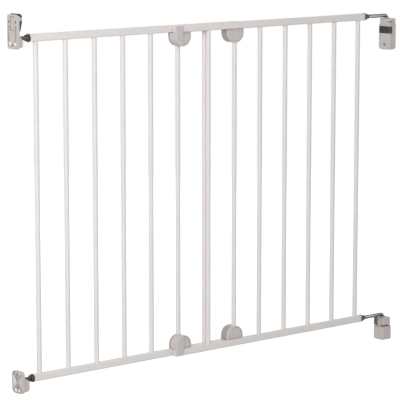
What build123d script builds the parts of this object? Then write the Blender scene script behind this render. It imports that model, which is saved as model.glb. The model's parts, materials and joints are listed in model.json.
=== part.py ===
"""Wall-fixed extending baby gate, in millimetres.

X runs along the gate into the hinge wall (X = 0), Y points to the back, Z is up.
The origin is the centre of the lower hinge bracket's wall face.
"""
import math
import os

from build123d import *

# Welded frames
BAR_PITCH = 72.0
BARS_PER_FRAME = 7
BAR_DIAMETER = 10.0
BAR_WALL = 1.0
RAIL_HEIGHT = 15.0
RAIL_DEPTH = 12.0
RAIL_CORNER = 2.5
RAIL_WALL = 1.0
RAIL_SPAN = 685.0            # between the axes of the top and the bottom rails
RAIL_OUTER_REACH = 14.0      # rail past the axis of its outermost bar
RAIL_INNER_REACH = 18.0      # rail past the axis of the bar that its inner end meets
FRAME_GAP = 0.8              # between the rails of the two frames
OVERLAP_PITCHES = 2          # pitches over which the two frames' rails run side by side

# Rail plugs and caps
PLUG_FLANGE = 3.0
PLUG_DEPTH = 22.0
CAP_FLANGE = 1.5
CAP_DEPTH = 8.0
PLUG_CLEARANCE = 0.1

# Threaded rods, nuts and hooks
ROD_DIAMETER = 8.0
ROD_CLEARANCE = 0.1
NUT_FLATS = 13.0
NUT_THICKNESS = 5.0
NUT_CHAMFER = 0.6
NUT_FLANGE_DIAMETER = 17.0
NUT_FLANGE = 1.5
NUT_GAP = 0.2                # between a nut and the plug it is turned against
NUT_COLLAR = 7.0             # taper between a hook's nut and its rod
NUT_COLLAR_START = 12.0
NUT_COLLAR_END = 9.6
STUD_IN_RAIL = 40.0
HOOK_IN_RAIL = 60.0
HOOK_BEND = 7.0              # radius of the bend at the rod's centre line
HOOK_REACH = 89.0            # hinge axis to the nearest bar
HINGE_SETBACK = 12.0         # hinge axis to the hinge wall
HOOK_DROP = 6.5              # top of a hinge bracket to the axis of its hook's arm
GATE_LIFT = 10.0
RUNNING_FIT = 0.06           # radial clearance of turning and sliding rods
MOVING_GAP = 0.3             # between surfaces that pass each other
CUT_PAST = 1.0               # reach of a cutter past the surface it opens

# Hinge bushes
BUSH_DIAMETER = 10.4
BUSH_FLANGE_DIAMETER = 12.6
BUSH_FLANGE = 1.5
BUSH_FLARE = 1.0
UPPER_BUSH_DEPTH = 16.0
LOWER_BUSH_DEPTH = 24.0
BUSH_FLOOR = 2.0

# Stop pin on the lower hook
STOP_PIN_DIAMETER = 7.5
STOP_PIN_LENGTH = 17.0
STOP_PIN_RADIUS = 22.0       # from the hinge axis

# Upper hinge bracket and its lock slide
UPPER_HINGE_WIDTH = 35.0
UPPER_HINGE_DEPTH = 20.0
UPPER_HINGE_HEIGHT = 70.0
UPPER_NECK_HEIGHT = 13.0
UPPER_NECK_INSET = 1.5
UPPER_HINGE_CORNER = 8.0
UPPER_HINGE_EDGE = 3.0
NECK_TOP_EDGE = 1.0
LOCK_TOP = 18.0              # below the top of the bracket
LOCK_HEIGHT = 15.0
LOCK_THICKNESS = 2.6
LOCK_PROUD = 0.7
LOCK_WRAP = 8.0              # length on the front face
LOCK_TRAVEL = 8.0
LOCK_RIB = 0.7
LOCK_RIB_MARGIN = 1.0
LOCK_RIBS = 7
TONGUE_THICKNESS = 3.0
TONGUE_STEM = 4.0            # width where the tongue passes the bracket's front
TONGUE_FORK = 9.0            # width round the hook
TONGUE_FORK_LENGTH = 7.5
TONGUE_PRONG = 2.0           # reach past the hinge axis
GROOVE_DIAMETER = 5.2
HOOK_HEAD = 2.7
UPPER_SCREW_LOW = 11.0       # lower screw above the bracket's bottom
UPPER_SCREW_ASIDE = 10.0     # upper screw from the middle, behind the lock slide

# Lower hinge bracket
LOWER_HINGE_WIDTH = 31.0
LOWER_HINGE_DEPTH = 25.0
LOWER_HINGE_HEIGHT = 51.0
LOWER_NECK_HEIGHT = 20.0
LOWER_NECK_INSET = 3.0
LOWER_HINGE_CORNER = 4.0
LOWER_HINGE_EDGE = 2.0
LOWER_SCREW_LOW = 8.0
LOWER_SCREW_SPACING = 11.0

# Shadow slots round the front corner of the hinge brackets
CORNER_SLOT_DEPTH = 3.0
UPPER_SLOT_DROP = 6.5
UPPER_SLOT_HEIGHT = 2.0
UPPER_SLOT_FRONT = 10.0
UPPER_SLOT_SIDE = 6.0
LOWER_SLOT_HEIGHT = 3.5
LOWER_SLOT_FRONT = 16.0
LOWER_SLOT_SIDE = 8.0

# Wall screws
SCREW_HOLE_DIAMETER = 4.5
SCREW_HEAD_DIAMETER = 7.6
SCREW_SEAT = 4.0             # material under a sunk head
SCREW_CAP = 2.0              # plug that covers a sunk head

# Latch brackets, measured from the wall and from the stud's axis
LATCH_REACH = 55.0           # outermost bar to the latch wall
CUP_CLEARANCE = 0.3
CUP_WIDTH = 24.0
CUP_LEDGE = 1.0              # flat stretch before the cup slopes down
CUP_BROW = 2.0               # steeper end of the slope
CUP_BROW_DROP = 3.0
CUP_CHIN = 3.0               # lower front corner, cut back
CUP_CHIN_RISE = 1.0
LATCH_EDGE = 1.2
UPPER_LATCH_WIDTH = 34.0
UPPER_LATCH_ABOVE = 48.0
UPPER_LATCH_BELOW = 20.0
UPPER_LATCH_PLATE = 6.5
UPPER_LATCH_CORNER = 6.0
UPPER_CUP_REACH = 18.0
UPPER_CUP_TOP = 9.0
UPPER_CUP_LIP = -5.0
UPPER_STUD_END = 8.5         # wall to the tip of the upper stud
LOWER_LATCH_WIDTH = 35.0
LOWER_LATCH_ABOVE = 20.0
LOWER_LATCH_BELOW = 26.0
LOWER_LATCH_PLATE = 8.0
LOWER_LATCH_CORNER = 9.0
LOWER_CUP_REACH = 23.0
LOWER_CUP_TOP = 6.5
LOWER_CUP_LIP = -4.0
LOWER_STUD_END = 10.5        # wall to the tip of the lower stud
LATCH_SCREW_DROP = 12.5      # screw below the stud's axis
UPPER_SIDE_SCREW_RISE = 33.0
UPPER_SIDE_SCREW_SPREAD = 23.0
LOWER_TOP_SCREW_RISE = 11.5
BACK_RIM = 2.2
BACK_RIB = 1.8
BACK_POCKET = 1.5
BACK_RECESS = 1.2
BACK_RECESS_WIDTH = 15.0
BACK_CELL = 2.5
RIB_ANGLE = 35.0

# Tray in the upper latch bracket that the thumb lever is pressed into
TRAY_WALL = 1.5
TRAY_FLOOR = 3.0             # from the wall
TRAY_BOTTOM = 11.0           # above the stud's axis
CATCH_SKIN = 1.0             # back wall left behind the lever's catch
EAR_RADIUS = 3.6
EAR_ROOT = 5.0               # from the wall, where an ear leaves the tray's side

# Thumb lever on the upper latch bracket, measured as the bracket is
LEVER_PIVOT_OUT = 8.0
LEVER_PIVOT_RISE = 39.0
LEVER_PIN_DIAMETER = 2.6
LEVER_PIN_SUNK = 0.4         # below the outside of the ears
LEVER_HUB_DIAMETER = 5.4
LEVER_TOP = 49.5
LEVER_CROWN = 5.0            # radius of the rounded top
LEVER_CORNER = 5.0           # corner radius seen from the gate
LEVER_OUT = 13.0
LEVER_SLOPE_TOP = 33.0       # where the front starts to run back to the wall
LEVER_TOE = 13.0             # lower edge
LEVER_TOE_OUT = 8.6
LEVER_TOE_THICKNESS = 1.2
LEVER_BACK = 6.0
CATCH_WIDTH = 7.0
CATCH_OUT = 10.5
CATCH_THICKNESS = 2.5
CATCH_RISE = 4.6             # lower end above the stud's axis
CATCH_TOP = 24.0
CATCH_CHAMFER = 1.0
LEVER_SPRING_LENGTH = 5.0
LEVER_SPRING_WIRE = 0.9

# Half-moon clips
CLIP_RADIUS = 21.0
CLIP_SKIRT = 8.0             # straight stretch between the rail and the round end
CLIP_RIM = 2.6
CLIP_RECESS = 0.8
CLIP_BAR_CLEARANCE = 0.1
CLIP_EDGE = 1.2
TAB_WIDTH = 20.0
TAB_THICKNESS = 2.5
TAB_SHORT = 1.5              # tab ends this far from the rail's edge
TAB_PROUD = 0.2              # tab stands past the half-moon's side
CLIP_SCREW_DIAMETER = 3.0
CLIP_SCREW_HEAD = 6.4
CLIP_SCREW_HEAD_HEIGHT = 2.0
CLIP_SCREW_OUT = 9.5         # from the bar's axis
CLIP_SCREW_DROP = 10.0       # from the rail
CLIP_SCREW_GRIP = 3.5        # past the parting of the two shells

# Places worked out from the sizes above
HINGE_X = -HINGE_SETBACK
HINGE_OUTER_BAR_X = HINGE_X - HOOK_REACH
FRAME_LENGTH = (BARS_PER_FRAME - 1) * BAR_PITCH
HINGE_INNER_BAR_X = HINGE_OUTER_BAR_X - FRAME_LENGTH
LATCH_INNER_BAR_X = HINGE_INNER_BAR_X - (2 - OVERLAP_PITCHES) * BAR_PITCH
LATCH_OUTER_BAR_X = LATCH_INNER_BAR_X - FRAME_LENGTH
LATCH_CLIP_X = HINGE_INNER_BAR_X - BAR_PITCH
HINGE_CLIP_X = LATCH_INNER_BAR_X + BAR_PITCH
LATCH_WALL_X = LATCH_OUTER_BAR_X - LATCH_REACH
HINGE_RAIL_X = (LATCH_CLIP_X - RAIL_INNER_REACH, HINGE_OUTER_BAR_X + RAIL_OUTER_REACH)
LATCH_RAIL_X = (LATCH_OUTER_BAR_X - RAIL_OUTER_REACH, HINGE_CLIP_X + RAIL_INNER_REACH)
HINGE_FRAME_Y = 0.0
LATCH_FRAME_Y = RAIL_DEPTH + FRAME_GAP
LOWER_HINGE_TOP = LOWER_HINGE_HEIGHT / 2
LOWER_SCREW_RISES = (LOWER_SCREW_LOW, LOWER_SCREW_LOW + LOWER_SCREW_SPACING)
BOTTOM_RAIL_Z = LOWER_HINGE_TOP + HOOK_DROP
TOP_RAIL_Z = BOTTOM_RAIL_Z + RAIL_SPAN
MIDDLE_Z = (BOTTOM_RAIL_Z + TOP_RAIL_Z) / 2
UPPER_HINGE_TOP = TOP_RAIL_Z - HOOK_DROP
ROD_RADIUS = ROD_DIAMETER / 2
BORE_RADIUS = ROD_RADIUS + ROD_CLEARANCE
STUD_SLOT_RADIUS = ROD_RADIUS + CUP_CLEARANCE
TONGUE_Z = UPPER_HINGE_TOP - LOCK_TOP - TONGUE_THICKNESS
GROOVE_TOP = TONGUE_Z + TONGUE_THICKNESS / 2 + MOVING_GAP
GROOVE_BOTTOM = TONGUE_Z - TONGUE_THICKNESS / 2 - MOVING_GAP - GATE_LIFT
UPPER_LEG_END = GROOVE_BOTTOM - HOOK_HEAD
LOWER_LEG_END = LOWER_HINGE_TOP - LOWER_BUSH_DEPTH + BUSH_FLOOR + MOVING_GAP
CLIP_MIDDLE_Y = (HINGE_FRAME_Y + LATCH_FRAME_Y) / 2
CLIP_FACE_Z = TOP_RAIL_Z - RAIL_HEIGHT / 2
CLIP_FRONT_Y = HINGE_FRAME_Y - RAIL_DEPTH / 2
CLIP_BACK_Y = LATCH_FRAME_Y + RAIL_DEPTH / 2


def block(x, y, z):
    """Box between the low and high values given for each axis."""
    size = [high - low for low, high in (x, y, z)]
    centre = [(low + high) / 2 for low, high in (x, y, z)]
    return Pos(*centre) * Box(*size)


def slab(outline, x_from, x_to):
    """Outline drawn in Y and Z, extruded along X."""
    plane = Plane(origin=(x_from, 0, 0), x_dir=(0, 1, 0), z_dir=(1, 0, 0))
    return extrude(plane * outline, amount=x_to - x_from)


def rod_x(radius, x_from, x_to, y=0.0, z=0.0):
    """Cylinder along X."""
    return slab(Pos(y, z) * Circle(radius), x_from, x_to)


def rod_y(radius, y_from, y_to, x, z):
    """Cylinder along Y."""
    plane = Plane(origin=(x, y_from, z), x_dir=(1, 0, 0), z_dir=(0, 1, 0))
    return extrude(plane * Circle(radius), amount=y_to - y_from)


def rod_z(radius, z_from, z_to, x=0.0, y=0.0):
    """Cylinder along Z."""
    return Pos(x, y, (z_from + z_to) / 2) * Cylinder(radius, z_to - z_from)


def across(outline, half_width):
    """Outline drawn in X and Z, extruded evenly to both sides of Y = 0."""
    plane = Plane(origin=(0, 0, 0), x_dir=(1, 0, 0), z_dir=(0, -1, 0))
    return extrude(plane * outline, amount=half_width, both=True)


def polygon(*points):
    """Closed face through the given points."""
    return make_face(Polyline(*points, close=True))


def rail_outline(inset=0.0):
    """Rounded rectangular section of a rail, drawn in from its outside."""
    corner = max(RAIL_CORNER - inset, 0.4)
    return RectangleRounded(RAIL_DEPTH - 2 * inset, RAIL_HEIGHT - 2 * inset, corner)


def rail(x_span, y, z):
    """Hollow rail."""
    tube = slab(rail_outline() - rail_outline(RAIL_WALL), *x_span)
    return Pos(0, y, z) * tube


def bar(x, y):
    """Tubular bar, its ends coped to the rails."""
    tube = rod_z(BAR_DIAMETER / 2, BOTTOM_RAIL_Z, TOP_RAIL_Z, x, y)
    tube -= rod_z(BAR_DIAMETER / 2 - BAR_WALL, BOTTOM_RAIL_Z, TOP_RAIL_Z, x, y)
    rail_stretch = slab(rail_outline(), x - BAR_DIAMETER, x + BAR_DIAMETER)
    for z in (BOTTOM_RAIL_Z, TOP_RAIL_Z):
        tube -= Pos(0, y, z) * rail_stretch
    return tube


def rail_plug(rail_end, outward, y, z, flange, depth, bore):
    """Plastic plug with a flange on the end of a rail and a spigot inside it."""
    flange_span = sorted((rail_end, rail_end + outward * flange))
    spigot_span = sorted((rail_end, rail_end - outward * depth))
    plug = slab(rail_outline(), *flange_span)
    plug += slab(rail_outline(RAIL_WALL + PLUG_CLEARANCE), *spigot_span)
    if bore:
        plug -= rod_x(BORE_RADIUS, rail_end - depth - flange, rail_end + depth + flange)
    return Pos(0, y, z) * plug


def cone_x(radius_from, radius_to, x_from, x_to):
    """Cone along X."""
    profile = polygon((x_from, 0), (x_from, radius_from), (x_to, radius_to), (x_to, 0))
    return revolve(profile, Axis.X)


def nut(face_x, outward, y, z, collar):
    """Hexagon nut with a round flange that faces the rail and, on a hook, a tapered collar."""
    flange_start = face_x + outward * NUT_GAP
    hex_start = flange_start + outward * NUT_FLANGE
    hex_end = hex_start + outward * NUT_THICKNESS
    collar_end = hex_end + outward * collar
    chamfer_start = hex_end - outward * NUT_CHAMFER
    hexagon = RegularPolygon(NUT_FLATS / 2, 6, major_radius=False)
    corner = NUT_FLATS / math.sqrt(3) + NUT_CHAMFER
    turned = polygon((hex_start, 0), (hex_start, corner), (chamfer_start, corner),
                     (hex_end, NUT_FLATS / 2), (hex_end, 0))
    body = slab(hexagon, *sorted((hex_start, hex_end))) & revolve(turned, Axis.X)
    body += rod_x(NUT_FLANGE_DIAMETER / 2, *sorted((flange_start, hex_start)))
    if collar:
        body += cone_x(NUT_COLLAR_START / 2, NUT_COLLAR_END / 2, hex_end, collar_end)
    body -= rod_x(BORE_RADIUS, *sorted((flange_start, collar_end)))
    return Pos(0, y, z) * body


def stud(end_from_wall, z):
    """Latch stud with a domed tip that drops into a cup."""
    tip_x = LATCH_WALL_X + end_from_wall
    shank = rod_x(ROD_RADIUS, tip_x + ROD_RADIUS, LATCH_RAIL_X[0] + STUD_IN_RAIL)
    shank += Pos(tip_x + ROD_RADIUS, 0, 0) * Sphere(ROD_RADIUS)
    return Pos(0, LATCH_FRAME_Y, z) * shank


def hook(arm_z, leg_end_z):
    """Round rod bent down into a hinge bracket."""
    start = (HINGE_RAIL_X[1] - HOOK_IN_RAIL, HINGE_FRAME_Y, arm_z)
    corner = (HINGE_X, HINGE_FRAME_Y, arm_z)
    end = (HINGE_X, HINGE_FRAME_Y, leg_end_z)
    path = FilletPolyline(start, corner, end, radius=HOOK_BEND)
    section = Plane(origin=start, z_dir=(1, 0, 0)) * Circle(ROD_RADIUS)
    return sweep(section, path=path)


def upper_hook():
    """Hook with the long groove that the lock slide's tongue holds."""
    groove = rod_z(ROD_DIAMETER, GROOVE_BOTTOM, GROOVE_TOP, HINGE_X, HINGE_FRAME_Y)
    groove -= rod_z(GROOVE_DIAMETER / 2, GROOVE_BOTTOM, GROOVE_TOP, HINGE_X, HINGE_FRAME_Y)
    return hook(TOP_RAIL_Z, UPPER_LEG_END) - groove


def lower_hook():
    """Hook that stands on the floor of its bush and carries the gate."""
    return hook(BOTTOM_RAIL_Z, LOWER_LEG_END)


def stop_pin():
    """Short pin welded under the lower hook's arm."""
    pin = rod_z(STOP_PIN_DIAMETER / 2, -ROD_RADIUS - STOP_PIN_LENGTH, 0, HINGE_X - STOP_PIN_RADIUS)
    pin -= rod_x(ROD_RADIUS, HINGE_RAIL_X[1], HINGE_X)
    return Pos(0, HINGE_FRAME_Y, BOTTOM_RAIL_Z) * pin


def bush(bracket_top, depth, floor):
    """Flanged nylon bush with a flared mouth; a floor closes the lower one."""
    top = bracket_top + MOVING_GAP + BUSH_FLANGE
    bottom = bracket_top - depth
    bore_radius = ROD_RADIUS + RUNNING_FIT
    body = rod_z(BUSH_DIAMETER / 2, bottom, top)
    body += rod_z(BUSH_FLANGE_DIAMETER / 2, top - BUSH_FLANGE, top)
    body -= rod_z(bore_radius, bottom + floor, top)
    flare = Cone(bore_radius, bore_radius + BUSH_FLARE, 2 * BUSH_FLARE)
    body -= Pos(0, 0, top - BUSH_FLARE) * flare
    return Pos(HINGE_X, HINGE_FRAME_Y, 0) * body


def corner_slot(gate_face, front_face, top, height, front, side):
    """Narrow slot round the front vertical corner of a hinge bracket."""
    z = (top - height, top)
    depth = CORNER_SLOT_DEPTH
    slot = block((gate_face - depth, gate_face + front), (front_face - depth, front_face + depth), z)
    slot += block((gate_face - depth, gate_face + depth), (front_face - depth, front_face + side), z)
    return slot


def wall_screw_hole(y, z, out_to, away):
    """Screw hole from the wall with a sunk seat for its head."""
    hole = rod_x(SCREW_HOLE_DIAMETER / 2, *sorted((0, away * out_to)), y, z)
    seat = sorted((away * SCREW_SEAT, away * (out_to + SCREW_SEAT)))
    return hole + rod_x(SCREW_HEAD_DIAMETER / 2, *seat, y, z)


def countersunk_hole(face_x):
    """Screw hole from the wall to a face, where a flat head lies flush."""
    sink_x = face_x - math.copysign((SCREW_HEAD_DIAMETER - SCREW_HOLE_DIAMETER) / 2, face_x)
    hole = rod_x(SCREW_HOLE_DIAMETER / 2, *sorted((0, face_x)))
    return hole + cone_x(SCREW_HOLE_DIAMETER / 2, SCREW_HEAD_DIAMETER / 2, sink_x, face_x)


def hinge_block(width, depth, height, neck_height, neck_inset, corner, edge):
    """Block with a narrower neck, its top at Z = 0 and its wall face at X = 0."""
    base = block((-depth, 0), (-width / 2, width / 2), (-height, -neck_height))
    bottom = base.edges().filter_by(Axis.X).group_by(Axis.Z)[0]
    base = fillet(bottom, corner)
    gate_face = base.faces().sort_by(Axis.X)[0]
    base = fillet(gate_face.edges(), edge)
    neck_half = width / 2 - neck_inset
    neck = block((neck_inset - depth, 0), (-neck_half, neck_half), (-neck_height - edge, 0))
    upright = neck.edges().filter_by(Axis.Z).group_by(Axis.X)[0]
    neck = fillet(upright, edge)
    top = neck.faces().sort_by(Axis.Z)[-1]
    return base + fillet(top.edges().sort_by(Axis.X)[:-1], NECK_TOP_EDGE)


def tongue_way(past):
    """Lock slide's tongue about the hook's axis, or with a gap past it the room that it runs in."""
    stem_x = (HINGE_X - TONGUE_FORK / 2 - past, HINGE_X - TONGUE_FORK / 2 + TONGUE_STEM + past)
    fork_x = (HINGE_X - TONGUE_FORK / 2 - past, HINGE_X + TONGUE_FORK / 2 + past)
    fork_start = TONGUE_PRONG - TONGUE_FORK_LENGTH
    travel = LOCK_TRAVEL if past else 0
    z = (TONGUE_Z - TONGUE_THICKNESS / 2 - past, TONGUE_Z + TONGUE_THICKNESS / 2 + past)
    stem = block(stem_x, (-UPPER_HINGE_WIDTH / 2 - past, fork_start), z)
    return stem + block(fork_x, (fork_start - travel - past, TONGUE_PRONG + past), z)


def upper_hinge_housing():
    """Hinge bracket with the bush, the hook's bore and the lock slide's ways."""
    half = UPPER_HINGE_WIDTH / 2
    gate_face = -UPPER_HINGE_DEPTH
    body = hinge_block(UPPER_HINGE_WIDTH, UPPER_HINGE_DEPTH, UPPER_HINGE_HEIGHT, UPPER_NECK_HEIGHT,
                       UPPER_NECK_INSET, UPPER_HINGE_CORNER, UPPER_HINGE_EDGE)
    body -= corner_slot(UPPER_NECK_INSET + gate_face, UPPER_NECK_INSET - half, -UPPER_SLOT_DROP,
                        UPPER_SLOT_HEIGHT, UPPER_SLOT_FRONT, UPPER_SLOT_SIDE)
    bush_bottom = -UPPER_BUSH_DEPTH - MOVING_GAP
    leg_bottom = UPPER_LEG_END - UPPER_HINGE_TOP - MOVING_GAP
    body -= rod_z(BUSH_DIAMETER / 2 + RUNNING_FIT, bush_bottom, 0, HINGE_X)
    body -= rod_z(ROD_RADIUS + MOVING_GAP, leg_bottom, 0, HINGE_X)
    band_z = (-LOCK_TOP - LOCK_HEIGHT - MOVING_GAP, -LOCK_TOP + MOVING_GAP)
    sunk = LOCK_THICKNESS - LOCK_PROUD + MOVING_GAP
    outside = (gate_face - CUT_PAST, -half - CUT_PAST)
    body -= block((outside[0], gate_face + sunk), (outside[1], half - UPPER_HINGE_EDGE), band_z)
    body -= block((outside[0], gate_face + LOCK_WRAP + MOVING_GAP), (outside[1], -half + sunk), band_z)
    body -= Pos(0, 0, -UPPER_HINGE_TOP) * tongue_way(MOVING_GAP)
    body -= Pos(0, 0, UPPER_SCREW_LOW - UPPER_HINGE_HEIGHT) * countersunk_hole(gate_face)
    body -= wall_screw_hole(UPPER_SCREW_ASIDE, -LOCK_TOP - LOCK_HEIGHT / 2, UPPER_HINGE_DEPTH, -1)
    return Pos(0, HINGE_FRAME_Y, UPPER_HINGE_TOP) * body


def lock_slide():
    """Ribbed band on two faces of the upper hinge bracket, with a forked tongue."""
    half = UPPER_HINGE_WIDTH / 2
    gate_face = -UPPER_HINGE_DEPTH - LOCK_PROUD
    front_face = -half - LOCK_PROUD
    back_end = half - UPPER_HINGE_EDGE - MOVING_GAP
    wrap_end = -UPPER_HINGE_DEPTH + LOCK_WRAP
    z = (-LOCK_TOP - LOCK_HEIGHT, -LOCK_TOP)
    band = block((gate_face, gate_face + LOCK_THICKNESS), (front_face, back_end), z)
    band += block((gate_face, wrap_end), (front_face, front_face + LOCK_THICKNESS), z)
    corner = band.edges().filter_by(Axis.Z).group_by(Axis.X)[0].sort_by(Axis.Y)[0]
    band = fillet(corner, LOCK_THICKNESS)
    rib_start = front_face + 2 * LOCK_THICKNESS
    rib_step = (back_end - rib_start) / LOCK_RIBS
    rib_x = (gate_face - LOCK_RIB, gate_face + LOCK_RIB)
    rib_z = (z[0] + LOCK_RIB_MARGIN, z[1] - LOCK_RIB_MARGIN)
    for index in range(LOCK_RIBS):
        y = rib_start + (index + 0.5) * rib_step
        band += block(rib_x, (y - LOCK_RIB, y + LOCK_RIB), rib_z)
    notch = GROOVE_DIAMETER / 2 + MOVING_GAP
    tongue_z = (TONGUE_Z - TONGUE_THICKNESS / 2, TONGUE_Z + TONGUE_THICKNESS / 2)
    tongue = tongue_way(0)
    tongue -= rod_z(notch, *tongue_z, HINGE_X)
    tongue -= block((HINGE_X - notch, HINGE_X + notch), (0, TONGUE_PRONG), tongue_z)
    return Pos(0, HINGE_FRAME_Y, 0) * (Pos(0, 0, UPPER_HINGE_TOP) * band + tongue)


def lower_hinge_bracket():
    """Hinge bracket whose bush carries the gate's weight."""
    half = LOWER_HINGE_WIDTH / 2
    body = hinge_block(LOWER_HINGE_WIDTH, LOWER_HINGE_DEPTH, LOWER_HINGE_HEIGHT, LOWER_NECK_HEIGHT,
                       LOWER_NECK_INSET, LOWER_HINGE_CORNER, LOWER_HINGE_EDGE)
    body -= corner_slot(LOWER_NECK_INSET - LOWER_HINGE_DEPTH, LOWER_NECK_INSET - half,
                        LOWER_SLOT_HEIGHT - LOWER_NECK_HEIGHT, LOWER_SLOT_HEIGHT,
                        LOWER_SLOT_FRONT, LOWER_SLOT_SIDE)
    bush_bottom = -LOWER_BUSH_DEPTH - MOVING_GAP
    body -= rod_z(BUSH_DIAMETER / 2 + RUNNING_FIT, bush_bottom, 0, HINGE_X)
    for rise in LOWER_SCREW_RISES:
        body -= wall_screw_hole(0, rise - LOWER_HINGE_HEIGHT, LOWER_HINGE_DEPTH, -1)
    return Pos(0, HINGE_FRAME_Y, LOWER_HINGE_TOP) * body


def screw_cap(rise):
    """Plug flush with the lower hinge bracket's gate face, over a sunk screw."""
    span = (-LOWER_HINGE_DEPTH, SCREW_CAP - LOWER_HINGE_DEPTH)
    cap = rod_x(SCREW_HEAD_DIAMETER / 2 - RUNNING_FIT, *span)
    return Pos(0, HINGE_FRAME_Y, rise - LOWER_HINGE_TOP) * cap


def latch_plate(width, above, below, thickness, corner):
    """Rounded wall plate of a latch bracket, about the stud's axis."""
    outline = Pos(0, (above - below) / 2) * RectangleRounded(width, above + below, corner)
    plate = slab(outline, 0, thickness)
    front = plate.faces().sort_by(Axis.X)[-1]
    return fillet(front.edges(), LATCH_EDGE)


def cup(plate, reach, top, lip, bottom):
    """Sloping cup that stands out of a latch plate."""
    root = plate - LATCH_EDGE
    nose = bottom + (lip - bottom) / 3
    profile = polygon((root, top), (plate + CUP_LEDGE, top), (reach - CUP_BROW, lip + CUP_BROW_DROP),
                      (reach, lip), (reach, nose), (reach - CUP_CHIN, bottom + CUP_CHIN_RISE),
                      (root, bottom))
    body = across(profile, CUP_WIDTH / 2)
    front = body.faces().sort_by(Axis.X)[-1]
    return fillet(front.edges(), LATCH_EDGE)


def stud_slot(plate, reach, above):
    """Open-topped slot that the stud drops into."""
    slot = rod_x(STUD_SLOT_RADIUS, plate, reach + CUT_PAST)
    sides = (-STUD_SLOT_RADIUS, STUD_SLOT_RADIUS)
    return slot + block((plate, reach + CUT_PAST), sides, (0, above + CUT_PAST))


def lever_ears():
    """Two ears on the upper latch bracket that hold the lever's pin."""
    half = UPPER_LATCH_WIDTH / 2
    ear = rod_y(EAR_RADIUS, -half, half, LEVER_PIVOT_OUT, LEVER_PIVOT_RISE)
    ear += block((EAR_ROOT, LEVER_PIVOT_OUT), (-half, half),
                 (LEVER_PIVOT_RISE - EAR_RADIUS, LEVER_PIVOT_RISE + EAR_RADIUS))
    return ear


def upper_latch_base():
    """Wall plate with a cup for the stud and a tray and ears for the thumb lever."""
    half = UPPER_LATCH_WIDTH / 2
    plate = UPPER_LATCH_PLATE
    body = latch_plate(UPPER_LATCH_WIDTH, UPPER_LATCH_ABOVE, UPPER_LATCH_BELOW, plate, UPPER_LATCH_CORNER)
    body += lever_ears()
    body += cup(plate, UPPER_CUP_REACH, UPPER_CUP_TOP, UPPER_CUP_LIP, BACK_RIM - UPPER_LATCH_BELOW)
    body -= stud_slot(plate, UPPER_CUP_REACH, UPPER_CUP_TOP)
    tray_half = half - TRAY_WALL
    tray_z = (TRAY_BOTTOM, UPPER_LATCH_ABOVE + CUT_PAST)
    body -= block((TRAY_FLOOR, LEVER_OUT), (-tray_half, tray_half), tray_z)
    catch_z = (ROD_RADIUS - CUT_PAST, TRAY_BOTTOM + TRAY_FLOOR)
    body -= block((CATCH_SKIN, plate + CUT_PAST), (-STUD_SLOT_RADIUS, STUD_SLOT_RADIUS), catch_z)
    body -= rod_y(LEVER_PIN_DIAMETER / 2, -half, half, LEVER_PIVOT_OUT, LEVER_PIVOT_RISE)
    recess_z = (catch_z[1] + BACK_RIB, UPPER_LATCH_ABOVE - BACK_RIM - BACK_RIB)
    body -= block((0, BACK_RECESS), (-BACK_RECESS_WIDTH / 2, BACK_RECESS_WIDTH / 2), recess_z)
    groove_top = UPPER_SIDE_SCREW_RISE - SCREW_HEAD_DIAMETER
    cell_z = (UPPER_LATCH_CORNER - UPPER_LATCH_BELOW, -ROD_RADIUS - BACK_RIB)
    for side in (-1, 1):
        screw_y = side * UPPER_SIDE_SCREW_SPREAD / 2
        body -= Pos(0, screw_y, UPPER_SIDE_SCREW_RISE) * countersunk_hole(TRAY_FLOOR)
        groove_y = sorted((side * (BACK_RECESS_WIDTH / 2 + BACK_RIB), side * (half - BACK_RIM)))
        body -= block((0, BACK_RECESS), groove_y, (-ROD_RADIUS, groove_top))
        cell_y = sorted((side * (SCREW_HOLE_DIAMETER / 2 + BACK_RIB), side * (half - BACK_RIM - BACK_RIB)))
        body -= block((0, BACK_CELL), cell_y, cell_z)
    body -= wall_screw_hole(0, -LATCH_SCREW_DROP, UPPER_CUP_REACH, 1)
    return Pos(LATCH_WALL_X, LATCH_FRAME_Y, TOP_RAIL_Z) * body


def lower_latch_bracket():
    """Rounded plate with a cup in front and crossed ribs on its wall side."""
    plate = LOWER_LATCH_PLATE
    body = latch_plate(LOWER_LATCH_WIDTH, LOWER_LATCH_ABOVE, LOWER_LATCH_BELOW, plate, LOWER_LATCH_CORNER)
    body += cup(plate, LOWER_CUP_REACH, LOWER_CUP_TOP, LOWER_CUP_LIP, BACK_RIM - LOWER_LATCH_BELOW)
    body -= stud_slot(plate, LOWER_CUP_REACH, LOWER_CUP_TOP)
    height = LOWER_LATCH_ABOVE + LOWER_LATCH_BELOW
    middle = (LOWER_LATCH_ABOVE - LOWER_LATCH_BELOW) / 2
    pocket = RectangleRounded(LOWER_LATCH_WIDTH - 2 * BACK_RIM, height - 2 * BACK_RIM,
                              LOWER_LATCH_CORNER - BACK_RIM)
    for angle in (RIB_ANGLE, -RIB_ANGLE):
        pocket -= Rot(0, 0, angle) * Rectangle(BACK_RIB, 2 * height)
    pocket -= Pos(0, -height / 4) * Rectangle(BACK_RIB, height / 2)
    pocket = Pos(0, middle) * pocket
    screw_heights = (LOWER_TOP_SCREW_RISE, -LATCH_SCREW_DROP)
    for z in screw_heights:
        pocket -= Pos(0, z) * Circle(SCREW_HOLE_DIAMETER / 2 + BACK_RIB)
    body -= slab(pocket, 0, BACK_POCKET)
    for z in screw_heights:
        body -= wall_screw_hole(0, z, LOWER_CUP_REACH, 1)
    return Pos(LATCH_WALL_X, LATCH_FRAME_Y, BOTTOM_RAIL_Z) * body


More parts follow.
